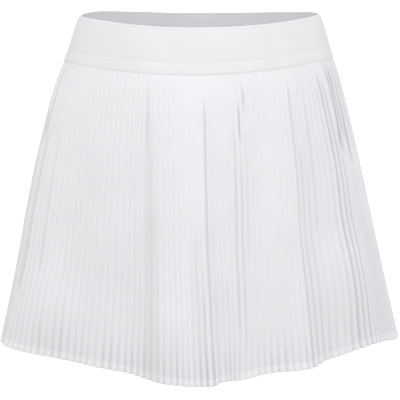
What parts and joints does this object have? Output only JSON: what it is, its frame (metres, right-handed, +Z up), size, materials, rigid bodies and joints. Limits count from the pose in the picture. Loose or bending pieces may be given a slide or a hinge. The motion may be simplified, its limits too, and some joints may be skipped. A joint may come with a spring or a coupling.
{
  "type": "tennis skirt",
  "caption": "Pull-on tennis skirt in its hollow worn shape: a wide folded knit waistband over fine accordion-pleated front and back panels that flare to a turned-up hem.",
  "frame": {"origin": "centre of the waist opening, level with the band's top edge at the side seams", "axes": "+Z up along the wearer, -Y out of the skirt's front, +X towards the wearer's left, across the width"},
  "size_m": [0.4259, 0.3334, 0.3532],
  "materials": {
    "waistband_knit": "smooth matt white knit",
    "pleated_cloth": "fine white plain weave with permanent pleats, soft sheen",
    "hem_cloth": "the same weave turned up and stitched"
  },
  "bodies": {
    "root": {"waistband_front": "waistband_knit", "waistband_back": "waistband_knit", "skirt_front": "pleated_cloth", "skirt_back": "pleated_cloth", "hem_front": "hem_cloth", "hem_back": "hem_cloth"}
  },
  "joints": []
}
